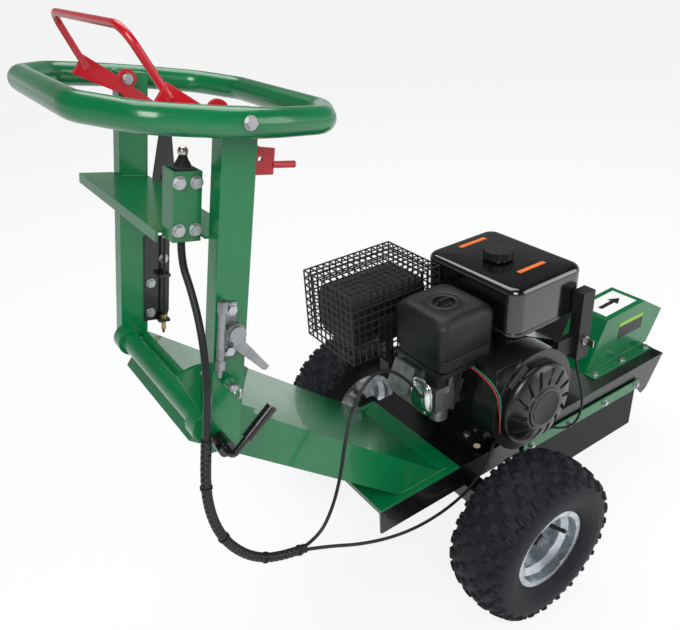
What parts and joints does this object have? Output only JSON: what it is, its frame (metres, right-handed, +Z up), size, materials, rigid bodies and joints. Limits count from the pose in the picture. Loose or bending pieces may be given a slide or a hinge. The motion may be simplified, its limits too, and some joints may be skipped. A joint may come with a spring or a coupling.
{
  "type": "stump grinder",
  "caption": "Walk-behind stump grinder with an engine on a two-wheel deck, a toothed cutter wheel under a cover, and a folding ring handle with a hold-to-run bail.",
  "frame": {"origin": "ground level, on the centre plane between the wheels, halfway along the machine", "axes": "+X forward towards the cutter, +Y to the operator's left, +Z up"},
  "size_m": [1.601, 0.872, 1.3806],
  "materials": {
    "green_gloss": "gloss powder coat",
    "black_gloss": "gloss powder coat",
    "red_gloss": "gloss paint",
    "black_rubber": "matt rubber",
    "zinc": "zinc plated",
    "galvanised": "galvanised",
    "tyre_black": "moulded",
    "steel_dark": "oiled steel",
    "steel_bright": "machined",
    "cast_grey": "cast",
    "engine_black": "satin black",
    "black_plastic": "moulded",
    "black_wire": "dark wire",
    "tank_black": "high gloss",
    "nickel": "nickel plated",
    "cord_black": "sheath"
  },
  "bodies": {
    "chassis": {"deck": "black_gloss", "tongue": "green_gloss", "axle": "black_gloss", "side_strips": "green_gloss", "side_skirts": "black_rubber", "cutter_cover": "green_gloss", "belt_guard": "black_gloss", "cutter_bearings": "cast_grey", "chassis_bolts": "zinc", "drive_belts": "black_rubber", "crankcase": "engine_black", "cylinder": "cast_grey", "fan_shroud": "engine_black", "recoil_cover": "engine_black", "carburettor": "cast_grey", "filter_base": "black_plastic", "filter_cover": "black_plastic", "muffler": "steel_dark", "muffler_cage": "black_wire", "fuel_tank": "tank_black", "control_box": "black_plastic", "wiring_loom": "cord_black", "throttle_cable": "cord_black", "stop_wire": "cord_black", "key_wire": "cord_black"},
    "wheel_right": {"hub_right": "zinc", "rim_right": "galvanised", "tyre_right": "tyre_black"},
    "wheel_left": {"hub_left": "zinc", "rim_left": "galvanised", "tyre_left": "tyre_black"},
    "cutter": {"cutter_disc": "steel_dark", "cutter_teeth": "steel_dark", "cutter_shaft": "steel_bright", "cutter_pulley": "cast_grey"},
    "crank": {"crankshaft": "steel_bright", "clutch_pulley": "cast_grey"},
    "handle": {"post_right": "green_gloss", "post_left": "green_gloss", "ring": "green_gloss", "shelf": "green_gloss", "switch_box": "green_gloss", "cable_bracket": "black_gloss", "handle_bolts": "zinc", "bail_bolts": "zinc", "throttle_body": "cast_grey", "fold_pin": "steel_bright", "switch_conduit": "cord_black", "clutch_cable": "cord_black"},
    "bail": {"bail": "red_gloss"},
    "link": {"link_plate": "black_gloss"},
    "throttle": {"throttle_lever": "cast_grey"},
    "lock": {"lock_plunger": "zinc"},
    "clamp": {"clamp_crank": "black_gloss"},
    "stop_button": {"kill_plunger": "nickel"},
    "fuel_cap": {"fuel_cap": "black_plastic"},
    "filter_knob": {"filter_knob": "black_plastic"},
    "key": {"key_switch": "steel_bright"},
    "starter": {"starter_grip": "black_plastic"},
    "choke": {"choke_lever": "zinc"}
  },
  "joints": [
    {"name": "wheel_right_spin", "type": "hinge", "parent": "chassis", "child": "wheel_right", "pos_m": [-0.03247, -0.352, 0.203], "axis": [0, 1, 0], "continuous": true},
    {"name": "wheel_left_spin", "type": "hinge", "parent": "chassis", "child": "wheel_left", "pos_m": [-0.03247, 0.352, 0.203], "axis": [0, 1, 0], "continuous": true},
    {"name": "cutter_spin", "type": "hinge", "parent": "chassis", "child": "cutter", "pos_m": [0.62152, 0, 0.175], "axis": [0, 1, 0], "continuous": true},
    {"name": "crank_spin", "type": "hinge", "parent": "chassis", "child": "crank", "pos_m": [0.10153, 0, 0.448], "axis": [0, 1, 0], "continuous": true},
    {"name": "handle_fold", "type": "hinge", "parent": "chassis", "child": "handle", "pos_m": [-0.69647, 0, 0.746], "axis": [0, 1, 0], "range_deg": [-12, 50], "deforming": ["wiring_loom"]},
    {"name": "bail_squeeze", "type": "hinge", "parent": "handle", "child": "bail", "pos_m": [-0.59556, 0, 1.25102], "axis": [0, -1, 0], "range_deg": [0, 22], "stiffness_Nm_per_rad": 4, "springref_deg": -34.38, "deforming": ["clutch_cable"]},
    {"name": "link_swing", "type": "hinge", "parent": "bail", "child": "link", "pos_m": [-0.53828, 0, 1.17023], "axis": [0, -1, 0], "range_deg": [-22, 0]},
    {"name": "throttle_turn", "type": "hinge", "parent": "handle", "child": "throttle", "pos_m": [-0.64297, -0.228, 0.93212], "axis": [0, -1, 0], "range_deg": [0, 60]},
    {"name": "lock_slide", "type": "slide", "parent": "handle", "child": "lock", "axis": [0, 1, 0], "range_m": [0, 0.012]},
    {"name": "clamp_turn", "type": "hinge", "parent": "handle", "child": "clamp", "pos_m": [-0.69647, -0.228, 0.746], "axis": [0, 1, 0], "range_deg": [0, 90]},
    {"name": "stop_press", "type": "slide", "parent": "handle", "child": "stop_button", "axis": [-0.1959, 0, -0.9806], "range_m": [0, 0.008], "stiffness_N_per_m": 600, "springref_m": -0.002},
    {"name": "fuel_cap_turn", "type": "hinge", "parent": "chassis", "child": "fuel_cap", "pos_m": [0.15552, -0.03, 0.741], "axis": [0, 0, 1], "range_deg": [0, 90]},
    {"name": "filter_knob_turn", "type": "hinge", "parent": "chassis", "child": "filter_knob", "pos_m": [-0.04648, -0.06, 0.706], "axis": [0, 0, 1], "range_deg": [0, 360]},
    {"name": "key_turn", "type": "hinge", "parent": "chassis", "child": "key", "pos_m": [0.26453, -0.222, 0.556], "axis": [0, -1, 0], "range_deg": [0, 90]},
    {"name": "starter_pull", "type": "slide", "parent": "chassis", "child": "starter", "axis": [-0.5878, 0, 0.809], "range_m": [0, 0.24], "stiffness_N_per_m": 12, "springref_m": -0.3},
    {"name": "choke_turn", "type": "hinge", "parent": "chassis", "child": "choke", "pos_m": [-0.08248, -0.122, 0.502], "axis": [0, -1, 0], "range_deg": [0, 45]}
  ],
  "couplings": [
    {"joint": "crank_spin", "follows": "cutter_spin", "ratio": 1},
    {"joint": "link_swing", "follows": "bail_squeeze", "ratio": -1}
  ]
}
